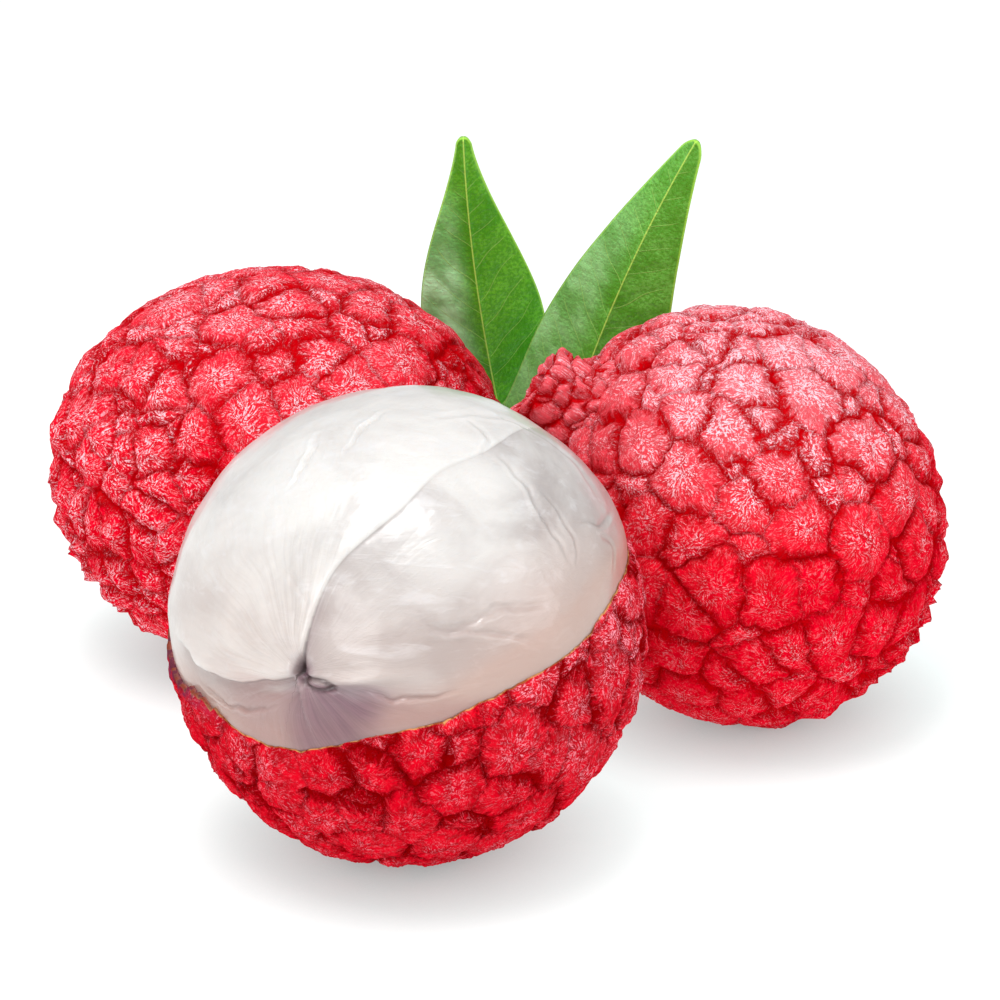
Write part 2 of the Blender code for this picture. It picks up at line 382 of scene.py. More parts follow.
def scale_places(rays, centres, radius, seed):
    """For each direction: its scale, how far it is from that scale's groove, its place from the
    scale's middle, and the two axes of that place. Some grooves are faint: their scales are grown
    together."""
    rng = np.random.default_rng(seed)
    apart = np.linalg.norm(centres[:, None] - centres[None], axis=2)
    np.fill_diagonal(apart, 1.0)
    weight = rng.uniform(-UNEVEN_SCALES, UNEVEN_SCALES, len(centres))
    faint = rng.random((len(centres), len(centres)))
    faint = FAINT_GROOVES * step_up(faint + faint.T, 1.0, 1.8)
    own = np.empty(len(rays), dtype=int)
    margin = np.empty(len(rays))
    for start in range(0, len(rays), CHUNK):
        part = slice(start, start + CHUNK)
        closeness = rays[part] @ centres.T + weight
        rows = np.arange(len(closeness))
        best = closeness.argmax(axis=1)
        to_edge = (closeness[rows, best][:, None] - closeness) / apart[best] * radius + faint[best]
        to_edge[rows, best] = math.inf
        own[part] = best
        margin[part] = to_edge.min(axis=1)
    axes = np.array([frame_on(centre) for centre in centres])[own][:, :2]
    place = np.einsum("ni,nji->nj", rays, axes) * radius
    return own, margin, place, axes


def scale_relief(rays, centres, radius, seed, dome, spikes, lean, groove, rough):
    """Height of the scales over the smooth fruit, and what their material needs: dome is how far a
    scale rises, spikes (0 to 1) how pointed it is, lean how far its lower side stands out, groove
    how deep the grooves are cut, and rough how uneven its top is."""
    warp = 0.030 * noise_vector(rays * 7.0, seed) + 0.018 * noise_vector(rays * 19.0, seed + 5)
    warp += 0.007 * noise_vector(rays * 45.0, seed + 8)
    own, margin, place, axes = scale_places(unit(rays + warp), centres, radius, seed)
    from_middle = np.linalg.norm(place, axis=1)
    share = from_middle / (from_middle + margin)
    around = place / np.maximum(from_middle, 1e-6)[:, None]
    rng = np.random.default_rng(seed + 100)
    chance = rng.random((len(centres), 3))[own]
    shift = chance[:, :1] * 40.0

    lobes, ribs, fibres = (
        noise(np.column_stack([around * fineness + shift, outwards]), seed + key)
        for key, fineness, outwards in ((11, 2.6, share * 1.6), (12, 6.0, from_middle * 0.9),
                                        (13, 12.0, from_middle * 1.8)))
    grain, folds, patchy = (noise(rays * radius * fineness, seed + key)
                            for key, fineness in ((14, 2.4), (15, 0.9), (16, 0.45)))

    frayed = np.maximum(margin + 0.10 * ribs + 0.06 * fibres, 0.0)
    crack = np.exp(-(frayed / GROOVE_WIDTH) ** 1.5) * (0.80 + 0.35 * patchy)
    slope = 1.0 - np.exp(-(margin / SLOPE_WIDTH) ** 1.5)
    rounded = slope * (1.0 - 0.5 * share ** 2.4) * (1.0 - spikes)
    pointed = 1.7 * (1.0 - share) ** 1.25 * spikes
    low_side = -(place * axes[..., 2]).sum(axis=1)
    on_top = 1.0 - crack
    height = dome * (rounded + pointed) - groove * crack
    height += on_top * (lean * low_side + 0.07 * (place * (chance[:, 1:] - 0.5)).sum(axis=1))
    height += rough * slope * (0.09 * lobes + 0.10 * ribs * step_up(share, 0.1, 0.6) + 0.06 * fibres)
    height += on_top * (0.05 * rough * grain + 0.06 * folds + 0.10 * (chance[:, 1] - 0.5))
    height += 0.12 * hump(from_middle, 0.40) * chance[:, 2]
    values = {"place": np.column_stack([place, chance[:, 0] * 9.0]), "margin": frayed}
    return height, values


# Material of the rind

RAY_FINENESS = 6.0
TUFTS = ((0.70, 3.7), (0.45, 8.1))
TUFT_LEAN = 1.3
HAIRS_ACROSS = 10.0
HAIRS_ALONG = 2.4
EDGE_BROWNS = (0.42, 0.10, 0.035), (0.72, 0.34, 0.13)
LINING_BROWNS = (0.45, 0.24, 0.17), (0.62, 0.40, 0.30)
BRUISE_PURPLE = (0.17, 0.03, 0.07)
CRATER_REDS = (0.25, 0.0, 0.005), (0.60, 0.02, 0.03)


def tufts(nodes, level, own, size, seed):
    """Noise drawn out along straight hairs, in tufts that each lean their own way outwards."""
    vectors = nodes.vectors
    shift = nodes.combine(nodes.math("MULTIPLY_ADD", own, 7.0, seed), seed)
    spread = vectors("ADD", level, shift)
    tuft = nodes.add("TexVoronoi", {"Vector": spread, "Scale": 1.0 / size}, voronoi_dimensions="2D")
    tuft = tuft.node.outputs
    middle = vectors("SUBTRACT", tuft["Position"], shift)
    lean = vectors("ADD", tuft["Color"], HALF_DOWN)
    way = vectors("MULTIPLY_ADD", lean, (TUFT_LEAN, TUFT_LEAN, 0.0), middle)
    way = vectors("NORMALIZE", way)
    beside = vectors("CROSS_PRODUCT", way, (0.0, 0.0, 1.0))
    across = vectors("DOT_PRODUCT", level, beside, output="Value")
    along = vectors("DOT_PRODUCT", level, way, output="Value")
    key = vectors("DOT_PRODUCT", tuft["Color"], (40.0, 30.0, 0.0), output="Value")
    hairs = nodes.combine(nodes.times(across, HAIRS_ACROSS), nodes.times(along, HAIRS_ALONG), key)
    return nodes.noise(hairs, 1.0, 0.0, 0.6)


def rind_material(name, deep, body, pale, fibre, lit_top_fibre, lit_top_blush):
    """Crimson rind: a deep red in the grooves, a body colour on the scales, and pale fibres over
    them. The first fibre amount is how much shows everywhere. The second adds more where the fruit
    is painted as lit, mostly its upper side, and the last one is how far the skin between the
    scales pales there: both are painted light."""
    nodes = Nodes(name)
    ease, times = nodes.ease, nodes.times
    place = nodes.parts("place")
    level = nodes.combine(place["X"], place["Y"])
    spot = nodes.spot()
    stray = nodes.add("TexNoise", {"Vector": spot, "Scale": 450.0, "Detail": 1.0}, output="Color")
    stray = nodes.vectors("ADD", stray, HALF_DOWN)
    flat = nodes.vectors("MULTIPLY_ADD", stray, (1.8, 1.8, 0.0), level)
    reach = nodes.vectors("LENGTH", flat, output="Value")
    fan = nodes.vectors("NORMALIZE", flat)
    outwards = nodes.combine(0.0, 0.0, reach)
    fan = nodes.vectors("MULTIPLY_ADD", fan, (RAY_FINENESS, RAY_FINENESS, 0.0), outwards)
    coarse = nodes.noise(fan, 1.0, 2.0, 0.6, place["Z"], 0.3)
    fine = nodes.math("MAXIMUM", *(tufts(nodes, level, place["Z"], size, seed) for size, seed in TUFTS))
    patches = nodes.noise(spot, 170.0, 3.0, 0.55)
    mottle = nodes.noise(spot, 1100.0, 2.0, 0.6)
    fuzz = nodes.noise(spot, 6200.0, 2.0, 0.7, distortion=0.6)
    margin, furry, painted_light = (nodes.value(key) for key in ("margin", "furry", "painted_light"))

    frayed = margin
    for uneven, size in ((coarse, 2.4), (fuzz, 1.3), (patches, 2.0)):
        frayed = nodes.math("MULTIPLY_ADD", nodes.math("SUBTRACT", uneven, 0.5), size, frayed)
    raised = ease(frayed, -0.22, 0.70)
    line = ease(margin, 0.0, 0.17)
    # Painted light: the upper side is painted paler, with more pale fibre, as if lit from above.
    on_top = nodes.math("POWER", painted_light, 3.0)
    strands = times(ease(fine, 0.56, 0.67), ease(coarse, 0.40, 0.60, 0.45, 1.35),
                    ease(fuzz, 0.42, 0.56, 0.15, 1.25))
    strands = nodes.math("ADD", strands, ease(fuzz, 0.58, 0.68, 0.0, 0.25))
    strands = times(
        strands, ease(reach, 0.2, 2.3, 1.22, 0.30), ease(raised, 0.0, 1.0, 0.12, 1.0),
        ease(patches, 0.34, 0.64, 0.40, 1.25), furry,
        nodes.math("MULTIPLY_ADD", on_top, lit_top_fibre, fibre), ease(margin, 0.02, 0.25))
    bare = times(nodes.math("SUBTRACT", 1.0, furry), 0.10)
    blush_and_top_light = nodes.math("ADD", ease(patches, 0.35, 0.6, 0.0, 0.02), bare)
    blush_and_top_light = nodes.math("MULTIPLY_ADD", times(on_top, furry), lit_top_blush, blush_and_top_light)
    skin = nodes.mix(times(raised, ease(mottle, 0.34, 0.62, 0.40, 1.0), line), deep, body)
    bruise = times(nodes.value("bruise"), ease(mottle, 0.42, 0.58, 0.35, 0.95))
    edge = nodes.mix(ease(mottle, 0.44, 0.56), *EDGE_BROWNS)
    # The first pale layer shows only where the fruit is painted as lit: painted light over a faint random
    # pink and the paler bare skin near the stalk.
    colour = nodes.layers(
        skin, (times(blush_and_top_light, painted_light, raised, line), pale), (strands, pale),
        (ease(nodes.value("torn"), 0.25, 0.75), edge),
        (nodes.value("inner"), nodes.mix(mottle, *LINING_BROWNS)), (bruise, BRUISE_PURPLE),
        (nodes.value("crater"), nodes.mix(mottle, *CRATER_REDS)))
    lift = nodes.math("ADD", times(coarse, 0.55), times(fine, 0.45))
    normal = nodes.bump(times(lift, raised), 0.30, 0.6)
    return nodes.finish({
        "Base Color": colour, "Roughness": ease(strands, 0.0, 1.0, 0.48, 0.70),
        "Normal": nodes.bump(fuzz, 0.08, 0.5, normal), "Specular IOR Level": 0.0})


# Rind pieces

FRUIT_COUNT = 127
SCALE_FOOT = 0.20
HOLLOW_DEPTH = 0.8
HOLLOW_ANGLE = 0.40
STUB_OUTLINE = ((5.2, -1.6), (4.4, 0.0), (3.75, 1.0), (3.45, 2.1), (3.5, 3.0), (3.25, 3.7), (2.6, 3.6),
                (1.8, 2.7), (0.9, 2.1), (0.1, 2.0))


def inside_box(node, points):
    """The points, held within the box of a CAD node."""
    low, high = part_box(node)
    return np.clip(points, np.array(low) / MM, np.array(high) / MM)


def fruit_radius(rays, half, dip):
    """Distance from a fruit's middle to its smooth skin, without the hollow around its stalk."""
    low, level = math.sin(dip), math.cos(dip)
    lie = np.array([[level, 0.0, -low], [0.0, 1.0, 0.0], [low, 0.0, level]])
    return 1.0 / np.linalg.norm(rays @ lie.T / np.array(half), axis=1)


def hollow(polar):
    """Depth of the hollow around the stalk."""
    return HOLLOW_DEPTH * hump(polar, HOLLOW_ANGLE)


def whole_lychee(name, centre, half, dip, stem, stub_size, seed, near_tip, flat, material):
    """A whole fruit with its scales and the stub of its stalk: near_tip is the angle around its tip
    that is full of small scales, and flat how far the scales rise away from the tip."""
    rays, quads, spread = cube_sphere(FRUIT_COUNT)
    radius = fruit_radius(rays, half, dip)
    centres = with_small_scales(scale_centres(stem, seed), 0.50, near_tip, seed)
    to_tip = rays @ -unit(stem)
    spikes = step_up(to_tip, 0.35, 0.9)
    dome = flat + (0.50 - flat) * step_up(to_tip, 0.0, 0.8) + 0.22 * step_up(-to_tip, 0.75, 0.95)
    polar, _ = polar_about(stem, rays)
    off_stalk = step_up(polar, 0.45, 0.95)
    relief, values = scale_relief(rays, centres, radius.mean(), seed, dome, spikes,
                                  lean=0.03, groove=0.36, rough=0.30 + 0.70 * off_stalk)
    total = radius - SCALE_FOOT + relief - hollow(polar)
    points = inside_box(name, np.array(centre) + rays * total[:, None])
    values["furry"] = 0.25 + 0.75 * off_stalk
    # Painted light: paler towards the top, as if lit from above.
    values["painted_light"] = step_up(rays[:, 2], -0.3, 1.0)
    solid("fine_" + name, points, quads, spread, values, material, [name])
    stalk_stub(name, centre, half, dip, stem, stub_size, seed, material)


def stalk_stub(name, centre, half, dip, stem, size, seed, material):
    """The stub where the stalk broke off: a collar of small beads, with a ragged rim around a
    crater. The rim is higher in front."""
    columns, fine = ((140, 14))
    foot = fruit_radius(unit(stem)[None], half, dip)[0] - hollow(0.0)
    outline = np.array(STUB_OUTLINE) * np.array([0.6 + 0.4 * size, size])
    line = smooth_line(outline, fine)
    turns = np.tile(np.arange(columns) * 2.0 * math.pi / columns, len(line))
    reach = np.repeat(line[:, 0], columns)
    rise = np.repeat(line[:, 1], columns)
    share = np.repeat(np.arange(len(line)) / len(line), columns)
    place = on_circle(turns, reach, rise)
    around = on_circle(turns, 1.0, share)
    axis = frame_on(stem)
    near_side = -(around[:, :2] @ axis[:2, 1])
    bent = place + 0.25 * noise_vector(place * 1.3, seed + 32)
    wrinkle = beads(bent * [0.52, 0.52, 0.72], seed + 31)
    ragged = noise(around * [1.6, 1.6, 0.0], seed + 33) + 0.5 * noise(around * [4.0, 4.0, 1.0], seed + 34)
    at_rim = step_up(share, 0.35, 0.55) * step_down(share, 0.75, 0.95)
    bead = 0.62 * (1.0 - np.exp(-(wrinkle / 0.34) ** 1.2)) + 0.10 * noise(place * 2.6, seed + 35) - 0.30
    reach = reach * (1.0 + 0.10 * ragged) + bead * step_up(reach, 0.3, 1.5)
    rise = rise + (0.35 * ragged + 0.6 * near_side) * at_rim + 0.5 * bead
    place = on_circle(turns, reach, foot + rise)
    ends = np.array([[0.0, 0.0, foot + outline[0, 1]], [0.0, 0.0, foot + outline[-1, 1]]])
    points = np.array(centre) + np.vstack([ends[:1], place, ends[1:]]) @ axis
    level = np.zeros((len(points), 3))
    level[1:-1, :2] = place[:, :2]
    level[1:-1, 2] = 3.3
    values = {
        "place": level,
        "margin": np.concatenate([[1.0], 2.2 * wrinkle, [0.2]]),
        "crater": np.concatenate([[0.0], step_up(share, 0.62, 0.78), [1.0]]),
        "furry": np.full(len(points), 0.35),
        # Painted light: the whole stub is painted as fully lit from above.
        "painted_light": np.full(len(points), 1.0),
    }
    faces, spread = tube(len(line), columns)
    solid("stub_" + name, points, faces, spread, values, material, [name])


# Peeled fruit

FRONT_CENTRE = np.array((-6.4, -17.6, 18.0))
FRONT_RADIUS = 18.15
FRONT_STEM = (-0.38, -0.91, 0.15)
FRONT_SEED = 31
OPENING_FACES = (-0.23, -0.18, 0.956)
OPENING_HEIGHT = 2.3
OPENING_WAVES = ((2, 0.030, 0.6), (3, 0.022, 2.1), (5, 0.014, 4.0), (9, 0.008, 1.2))
FRONT_RISE = 0.055
FRONT_TURN = -1.35
RIND_WALL = 1.4
RIND_EDGE = 0.55


def opening_angle(turn):
    """Angle from the bottom of the rind up to its torn edge, at a turn around the opening. The edge
    stands a little higher around FRONT_TURN."""
    angle = math.pi / 2.0 + math.asin(OPENING_HEIGHT / FRONT_RADIUS)
    for count, size, phase in OPENING_WAVES:
        angle = angle + size * np.sin(count * turn + phase)
    return angle + FRONT_RISE * np.exp((np.cos(turn - FRONT_TURN) - 1.0) / 0.15)


def rind_inside(share):
    """Radius of the rind's inner face, at a share of the way from its bottom to its edge."""
    return FRONT_RADIUS - RIND_WALL + (RIND_WALL - RIND_EDGE) * step_up(share, 0.55, 1.0)


def ragged_edge(turn):
    """How far the torn edge stands above its smooth line, as an angle."""
    return waves(on_circle(turn, 1.0, 0.0), (0.010, 9.0, 61), (0.007, 24.0, 62), (0.004, 50.0, 63))


def peeled_rind(material):
    """The rind left on the half-peeled fruit: its scales, its torn edge and its inner face."""
    columns, outer_rows, inner_rows = ((540, 150, 12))
    bottom = -unit(OPENING_FACES)
    turn = np.arange(columns) * 2.0 * math.pi / columns
    at_edge = rays_at(bottom, opening_angle(turn), turn)
    bruised = step_up(-at_edge[:, 0] - 0.25 * at_edge[:, 1], 0.86, 0.99)
    edge = opening_angle(turn) + ragged_edge(turn) * (1.0 + 3.0 * bruised) + 0.050 * bruised
    rows = np.arange(1, outer_rows + 1) / outer_rows
    polar = (rows[:, None] * edge[None]).ravel()
    rays = np.vstack([bottom, rays_at(bottom, polar, np.tile(turn, outer_rows))])
    polar = np.concatenate([[0.0], polar])
    below_edge = (np.concatenate([[edge.mean()], np.tile(edge, outer_rows)]) - polar) * FRONT_RADIUS

    centres = with_small_scales(scale_centres(FRONT_STEM, FRONT_SEED), 0.55, 0.0, FRONT_SEED)
    left_side = step_up(rays @ unit((-0.8, -0.5, -0.4)), 0.3, 0.9)
    relief, values = scale_relief(rays, centres, FRONT_RADIUS, FRONT_SEED, 0.26 + 0.12 * left_side,
                                  0.35 * left_side, lean=0.10, groove=0.42, rough=1.35)
    height = relief * (0.25 + 0.75 * step_up(below_edge, -0.1, 1.1)) - 0.22
    height -= 0.26 * step_down(below_edge, 0.0, 0.7)
    lining = rind_inside(1.0 - below_edge / FRONT_RADIUS / edge.mean()) - FRONT_RADIUS
    height = np.maximum(height, lining + 0.2)
    flare = np.concatenate([[0.0], np.tile(bruised, outer_rows)]) * step_down(below_edge, 0.0, 1.6)
    height += 0.55 * flare
    outer = FRONT_CENTRE + rays * (FRONT_RADIUS + height)[:, None]

    rows = np.concatenate([[1.0, 0.999, 0.994], 0.985 * (1.0 - np.arange(1, inner_rows) / inner_rows)])
    deep = np.repeat([0.25, 0.75, 1.0] + [1.0] * (inner_rows - 1), columns)
    polar = (rows[:, None] * edge[None]).ravel()
    inside = rays_at(bottom, polar, np.tile(turn, len(rows)))
    rim = np.tile(FRONT_RADIUS + height[-columns:], len(rows))
    radius = rim * (1.0 - deep) + rind_inside(polar / np.tile(edge, len(rows))) * deep
    inner = FRONT_CENTRE + inside * radius[:, None]
    last = FRONT_CENTRE + bottom * rind_inside(0.0)
    points = inside_box("peeled_lychee_rind", np.vstack([outer, inner, last]))

    count = len(points)
    shown = len(outer)
    full = {"place": np.zeros((count, 3)), "margin": np.full(count, 2.0), "torn": np.zeros(count),
            "painted_light": np.full(count, 0.6), "bruise": np.zeros(count), "inner": np.zeros(count),
            "furry": np.full(count, 0.9)}
    values["torn"] = step_down(below_edge + 0.14 * noise(rays * 30.0, 66), 0.0, 0.16)
    # Painted light: paler towards the upper right, as if lit from there.
    values["painted_light"] = 0.25 + 0.75 * step_up(rays @ unit((0.85, -0.1, 0.5)), 0.1, 0.95)
    values["bruise"] = step_up(-rays[:, 0], 0.70, 0.92) * step_down(below_edge, 0.2, 1.5)
    for key, value in values.items():
        full[key][:shown] = value
    full["bruise"][shown:-1] = np.tile(bruised, len(rows))
    full["torn"][shown:shown + columns] = 1.0
    full["inner"][shown + columns:] = 1.0
    faces, spread = tube(outer_rows + len(rows), columns)
    solid("fine_peeled_rind", points, faces, spread, full, material, ["peeled_lychee_rind"])


# Flesh

CURVE_STEPS = 60
FLESH_RADIUS = 18.4
FLESH_COUNT = 127
FINE_SIDE = (-0.30, -0.75, 0.59)
FINENESS = 0.42
PIT = (-0.41, -0.89, 0.19)
# Centre of a broad painted highlight on the flesh.
PAINTED_HIGHLIGHT_AT = (0.26, -0.60, 0.76)
SEAM = ((-0.43, -0.88, 0.17), (-0.40, -0.87, 0.28), (-0.33, -0.81, 0.48), (-0.24, -0.75, 0.62),
        (-0.02, -0.63, 0.78), (0.14, -0.46, 0.88), (0.33, -0.28, 0.90), (0.47, -0.02, 0.88))
LEFT_LIP = ((-0.95, -0.28, 0.12), (-0.89, -0.44, 0.09), (-0.80, -0.59, 0.06), (-0.67, -0.74, 0.08),
            (-0.54, -0.83, 0.12), (-0.44, -0.88, 0.16))
NODULE = (-0.345, -0.926, 0.155)
CREASES = (
    (0.16, 0.25, (-0.14, -0.98, 0.15), (-0.02, -0.99, 0.12), (0.10, -0.985, 0.13), (0.22, -0.96, 0.15)),
    (0.22, 0.22, (0.38, -0.29, 0.88), (0.49, -0.38, 0.79), (0.56, -0.47, 0.69), (0.66, -0.54, 0.52)),
    (0.20, 0.24, (-0.36, -0.15, 0.92), (-0.39, -0.27, 0.88), (-0.46, -0.41, 0.79)),
    (0.20, 0.20, (-0.08, -0.08, 0.99), (-0.17, -0.20, 0.96), (-0.24, -0.33, 0.91)),
    (0.30, 0.16, (0.03, -0.90, 0.43), (0.21, -0.90, 0.39), (0.38, -0.82, 0.44), (0.60, -0.69, 0.40)),
    (0.35, 0.14, (0.09, -0.15, 0.985), (0.38, 0.01, 0.92), (0.62, 0.02, 0.78), (0.79, -0.10, 0.60)),
    (0.18, 0.20, (-0.83, -0.48, -0.02), (-0.70, -0.71, -0.05), (-0.52, -0.85, 0.02)),
    (0.20, 0.18, (0.55, -0.36, 0.75), (0.62, -0.41, 0.67), (0.685, -0.447, 0.575), (0.69, -0.52, 0.50)),
    (0.20, 0.22, (0.70, -0.36, 0.62), (0.79, -0.24, 0.56), (0.835, -0.05, 0.55)),
    (0.20, 0.16, (0.80, -0.30, 0.52), (0.84, -0.26, 0.47), (0.85, -0.34, 0.40)),
    (0.20, 0.16, (0.255, -0.11, 0.96), (0.33, -0.20, 0.92), (0.31, -0.31, 0.90)),
    (0.20, 0.14, (0.04, -0.92, 0.39), (0.25, -0.89, 0.37), (0.40, -0.85, 0.34), (0.56, -0.79, 0.26)),
    (0.22, 0.08, (-0.50, -0.66, 0.56), (-0.42, -0.75, 0.51), (-0.38, -0.81, 0.44)),
)
RIGHT_LIP = ((-0.40, -0.89, 0.20), (-0.33, -0.93, 0.17), (-0.22, -0.96, 0.18), (-0.05, -0.98, 0.21),
             (0.15, -0.96, 0.22))
WISP_TURN = (0.3, 0.9, 0.5)
WISP_FINENESS = (150.0, 520.0, 700.0)
CLEAR_GREY = (0.42, 0.378, 0.368)
MILK_WHITE = (0.735, 0.718, 0.700)
WISP_WHITE = (0.76, 0.755, 0.77)
LINE_LIGHT = (0.76, 0.74, 0.70)
LINE_DARK = (0.56, 0.52, 0.48)
PEACH = (0.56, 0.37, 0.31)
ROSE = (0.33, 0.14, 0.13)
PURPLES = (0.125, 0.042, 0.078), (0.175, 0.068, 0.110)
# Colour of the painted shade in the seam, at the pit, along the left lip and around the nodule.
PAINTED_CREASE_SHADE = (0.09, 0.055, 0.055)


def beside_line(rays, points):
    """Distance of each direction to a smooth line through the points, negative on its left, and how
    far along it the nearest place is, from 0 to 1."""
    points = unit(points)
    line = unit(np.vstack([smooth_line(points, CURVE_STEPS), points[-1:]]))
    best = np.empty(len(rays), dtype=int)
    for start in range(0, len(rays), CHUNK):
        best[start:start + CHUNK] = (rays[start:start + CHUNK] @ line.T).argmax(axis=1)
    ahead = line[np.minimum(best + 1, len(line) - 1)] - line[np.maximum(best - 1, 0)]
    away = rays - line[best]
    side = unit(np.cross(ahead, line[best]))
    across = (away * side).sum(axis=1)
    beyond = np.abs((away * unit(ahead)).sum(axis=1))
    inner = (best > 0) & (best < len(line) - 1)
    distance = np.where(inner, np.abs(across), np.hypot(across, beyond))
    return np.sign(across) * distance * FLESH_RADIUS, best / (len(line) - 1)


def crease(rays, line, width, depth):
    """A groove of a depth along a line, raised on its right side, that fades towards both ends."""
    distance, along = beside_line(rays, line)
    distance = distance + 0.22 * noise(rays * 22.0, 49)
    profile = 0.6 * hump(distance - 1.8 * width, width) - hump(distance, width)
    return depth * profile * np.sin(math.pi * np.clip(along, 0.02, 0.98)) ** 0.6


def peeled_flesh():
    """The flesh: two lobes that meet in a seam, over a small pit where the stalk was."""
    rays, quads, spread = cube_sphere(FLESH_COUNT)
    rays = unit(rays + FINENESS * unit(FINE_SIDE))
    sideways, _, upwards = rays.T
    polar, turn = polar_about(-unit(OPENING_FACES), rays)
    edge = opening_angle(turn)
    above = (polar - edge) * FRONT_RADIUS
    held = rind_inside(np.minimum(polar / edge, 1.0)) - 0.03 + 0.09 * step_up(above, -0.7, -0.1)
    swell = step_up(above, -0.25, 4.2) ** 0.36
    radius = held + (FLESH_RADIUS - held) * swell

    seam, along = beside_line(rays, SEAM)
    opened = step_down(along, 0.0, 0.95)
    at_pit = step_down(along, 0.02, 0.20)
    beside = (along > 0.0) & (along < 1.0)
    height = -(0.04 + 0.08 * opened ** 2 + 1.0 * at_pit) * hump(seam, 0.20 + 0.08 * at_pit) * beside
    right_side = step_up(seam, -0.22, 0.22)
    raised = 0.12 * (1.0 - right_side) - (0.05 + 0.13 * opened ** 1.5) * right_side
    height += raised * np.exp(-np.abs(seam) / 1.9) * beside
    lip, lip_along = beside_line(rays, LEFT_LIP)
    lip = lip + 0.28 * noise(lip_along[:, None] * [13.0, 0.0, 0.0], 48)
    on_lip = step_up(lip_along, 0.0, 0.3) * (lip_along < 1.0)
    drop = 0.48 * step_up(lip, -0.16, 0.16) * np.exp(-np.maximum(lip, 0.0) / 3.5)
    height -= (drop - 0.18 * hump(lip + 0.5, 0.6)) * on_lip
    fold, fold_along = beside_line(rays, RIGHT_LIP)
    on_fold = step_up(fold_along, 0.0, 0.1) * step_down(fold_along, 0.35, 1.0)
    drop = 0.35 * step_up(fold, 0.0, 0.4) * np.exp(-np.maximum(fold, 0.0) / 1.6)
    height += (0.30 * hump(fold, 0.45) - drop) * on_fold

    wander = rays + 0.06 * noise_vector(rays * 3.0, 43)
    from_pit, around_pit = polar_about(PIT, unit(rays + 0.035 * noise_vector(rays * 6.0, 47)))
    reach = from_pit * FLESH_RADIUS
    below_pit = step_up(PIT[2] - upwards, -0.01, 0.05) * np.exp(-((sideways - PIT[0] - 0.14) / 0.20) ** 4)
    height -= 0.45 * hump(reach, 0.8)
    spokes = noise(on_circle(around_pit, 5.0, reach * 0.3), 41)
    lines = noise(on_circle(around_pit, 20.0, reach * 0.5), 42)
    near_pit = hump(reach, 6.0) * step_up(reach, 0.3, 1.4)
    on_left = step_down(seam, -0.3, 0.3)
    height += near_pit * (0.06 * spokes + (0.01 + 0.04 * on_left) * lines)
    height += 0.032 * on_left * lines * step_up(reach, 2.0, 5.0) * step_down(reach, 11.0, 16.0)
    nodule = np.hypot((sideways - NODULE[0]) / 0.042, (upwards - NODULE[2]) / 0.016)
    nodule = np.where(rays[:, 1] < -0.5, nodule, 9.0)
    height += 0.22 * hump(nodule, 1.0) - 0.30 * hump(nodule - 1.5, 0.4)
    height += waves(wander, (0.18, 4.0, 44), (0.08, 9.0, 45)) + waves(rays, (0.015, 40.0, 46))
    for width, depth, *line in CREASES:
        height += crease(rays, line, width, depth)
    total = radius - 0.15 * swell + height * step_up(above, -0.3, 2.0)
    points = FRONT_CENTRE + rays * total[:, None]

    # Purple-grey share: the flesh's own tint below the pit and beneath the left lip, and painted shade in
    # the pit itself and beside the seam near the pit.
    seam_side_shade = np.exp(-np.maximum(seam, 0.0) / 1.2) * (seam > 0.0) * beside * step_down(along, 0.12, 0.40)
    lavender_and_shade = below_pit * step_down(reach, 5.5, 10.0) * (0.80 + 0.20 * spokes)
    for tinge in (0.08 * step_up(lip, -0.05, 0.3) * on_lip, hump(reach, 1.2), 0.42 * seam_side_shade):
        lavender_and_shade = np.maximum(lavender_and_shade, tinge)
    rose = 0.48 * step_up(PIT[2] - upwards + 0.05 * spokes, 0.0, 0.13)
    rose *= step_up(sideways, -0.85, -0.60) * step_down(sideways, 0.15, 0.55)
    low_right = step_up(rays @ unit((0.75, -0.62, 0.05)), 0.70, 1.0)
    peach = 0.9 * step_down(above, 0.0, 4.0) + 0.5 * low_right + 0.36 * step_down(upwards, 0.20, 0.75)
    # Painted light: a broad soft highlight, painted as paler flesh around one direction.
    painted_highlight = np.exp(-((1.0 - rays @ unit(PAINTED_HIGHLIGHT_AT)) / 0.045) ** 1.2)
    # Painted shade: the lower flesh is painted darker, as if less lit.
    painted_low_shade = 0.22 * step_down(upwards, 0.25, 0.95)
    values = {
        "fan": on_circle(around_pit, 1.0, reach),
        "lavender_and_shade": np.clip(lavender_and_shade, 0.0, 1.0),
        "peach": np.clip(peach, 0.0, 1.0),
        "rose": rose,
        # Painted shade in the groove around the nodule.
        "dark": 0.9 * hump(nodule - 1.3, 0.45),
        # Milky share: the painted highlight raises it, the painted shade of the lower flesh lowers it, and
        # it is smaller beneath the left lip. The right lobe's grey share shrinks towards the top, painted
        # light too, and the same painted shade lowers it, so that shade cancels on the right lobe.
        "milk_and_light": 0.85 + 0.4 * painted_highlight - 0.60 * step_up(lip, -0.1, 0.25) * on_lip - painted_low_shade,
        "clear_and_light": 0.67 - painted_low_shade - 0.20 * step_up(upwards, 0.3, 0.95),
        "seam": np.column_stack([seam, along, beside]),
        "lip": np.column_stack([lip, lip_along, on_lip]),
    }
    solid("fine_peeled_flesh", points, quads, spread, values, flesh_material(),
          ["peeled_lychee_flesh"])


